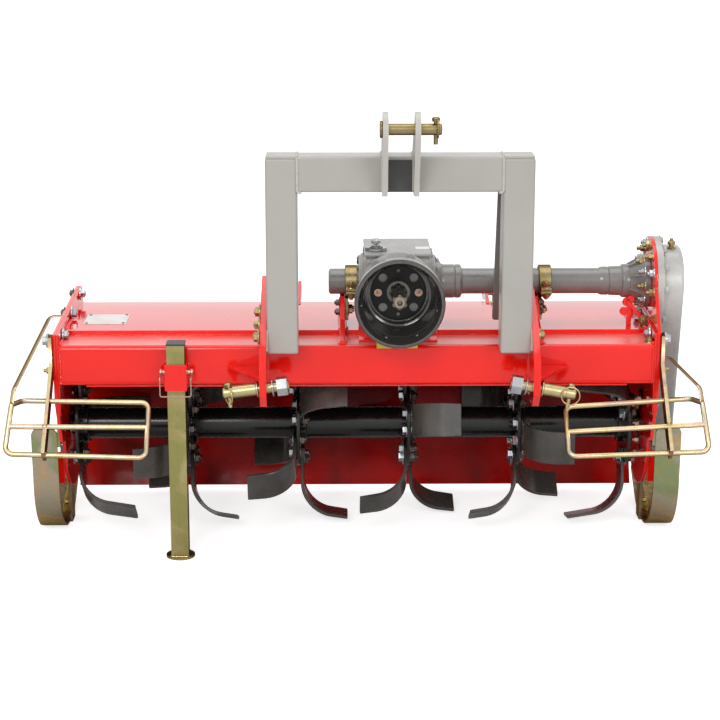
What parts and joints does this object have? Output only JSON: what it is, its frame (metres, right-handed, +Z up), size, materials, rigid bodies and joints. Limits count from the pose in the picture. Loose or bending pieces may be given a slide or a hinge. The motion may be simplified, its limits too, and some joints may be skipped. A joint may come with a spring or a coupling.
{
  "type": "rotavator",
  "caption": "Tractor-mounted rotary tiller: bladed rotor under a hood, side gear case, offset gearbox, hitch hoop, skids and parking stand.",
  "frame": {"origin": "middle of the machine's outline on the floor, between the guard rails' outer ends", "axes": "+X towards the gear-case side along the rotor, +Y to the rear, away from the tractor, +Z up"},
  "size_m": [1.574, 0.734, 1.043],
  "materials": {
    "red_paint": "glossy red paint",
    "hoop_grey": "satin warm grey paint",
    "cast_grey": "painted rough casting",
    "case_grey": "silver grey paint",
    "black_paint": "satin black paint",
    "guard_black": "moulded black plastic",
    "bright_steel": "bright zinc or turned steel",
    "yellow_zinc": "yellow chromated zinc"
  },
  "bodies": {
    "root": {"axle_tube": "cast_grey", "bearing_left": "black_paint", "crossbar": "hoop_grey", "deck": "red_paint", "end_plates": "red_paint", "front_beam": "red_paint", "gearbox": "cast_grey", "gearbox_saddle": "red_paint", "guard_rail_left": "yellow_zinc", "guard_rail_right": "yellow_zinc", "hinge_pin": "bright_steel", "link_plate_left": "red_paint", "link_plate_right": "red_paint", "lower_pin_left": "yellow_zinc", "lower_pin_right": "yellow_zinc", "pto_guard": "guard_black", "rod_brackets": "red_paint", "saddle_strip": "yellow_zinc", "side_case": "case_grey", "side_plate_left": "red_paint", "side_plate_right": "red_paint", "skid_left": "yellow_zinc", "skid_right": "yellow_zinc", "stand_pin": "yellow_zinc", "stand_socket": "red_paint", "stays": "hoop_grey", "stub_tube": "cast_grey", "top_clevis": "hoop_grey", "top_link_pin": "yellow_zinc", "tube_clamps": "yellow_zinc", "tube_posts": "red_paint", "upright_left": "hoop_grey", "upright_right": "hoop_grey"},
    "rotor": {"rotor_tube": "black_paint", "blade_flange_1": "black_paint", "blade_flange_2": "black_paint", "blade_flange_3": "black_paint", "blade_flange_4": "black_paint", "blade_flange_5": "black_paint", "blade_flange_6": "black_paint"},
    "input": {"input_shaft": "bright_steel"},
    "stand": {"stand_leg": "yellow_zinc"},
    "flap": {"rear_flap": "red_paint", "eye_pins": "bright_steel"},
    "swivel": {"swivels": "bright_steel"},
    "rods": {"spring_rods": "bright_steel"},
    "linch_left": {"linch_pin_left": "yellow_zinc"},
    "linch_right": {"linch_pin_right": "yellow_zinc"}
  },
  "joints": [
    {"name": "rotor_spin", "type": "hinge", "parent": "root", "child": "rotor", "pos_m": [0, 0.056, 0.2425], "axis": [1, 0, 0], "continuous": true},
    {"name": "pto_spin", "type": "hinge", "parent": "root", "child": "input", "pos_m": [0.094, -0.129, 0.612], "axis": [0, 1, 0], "continuous": true},
    {"name": "stand_slide", "type": "slide", "parent": "root", "child": "stand", "axis": [0, 0, 1], "range_m": [0, 0.18]},
    {"name": "flap_lift", "type": "hinge", "parent": "root", "child": "flap", "pos_m": [0, 0.301, 0.355], "axis": [1, 0, 0], "range_deg": [0, 26]},
    {"name": "swivel_turn", "type": "hinge", "parent": "root", "child": "swivel", "pos_m": [0, 0.345, 0.506], "axis": [1, 0, 0], "range_deg": [0, 13.1]},
    {"name": "rod_slide", "type": "slide", "parent": "swivel", "child": "rods", "axis": [0, 0.0299, 0.9996], "range_m": [0, 0.02474]},
    {"name": "linch_left_slide", "type": "slide", "parent": "root", "child": "linch_left", "axis": [-0.1219, 0, 0.9925], "range_m": [0, 0.1]},
    {"name": "linch_right_slide", "type": "slide", "parent": "root", "child": "linch_right", "axis": [0.1736, 0, 0.9848], "range_m": [0, 0.1]}
  ],
  "couplings": [
    {"joint": "pto_spin", "follows": "rotor_spin", "ratio": -2.6},
    {"joint": "swivel_turn", "follows": "flap_lift", "ratio": 0.49396},
    {"joint": "rod_slide", "follows": "flap_lift", "m_per_rad": 0.053441}
  ]
}
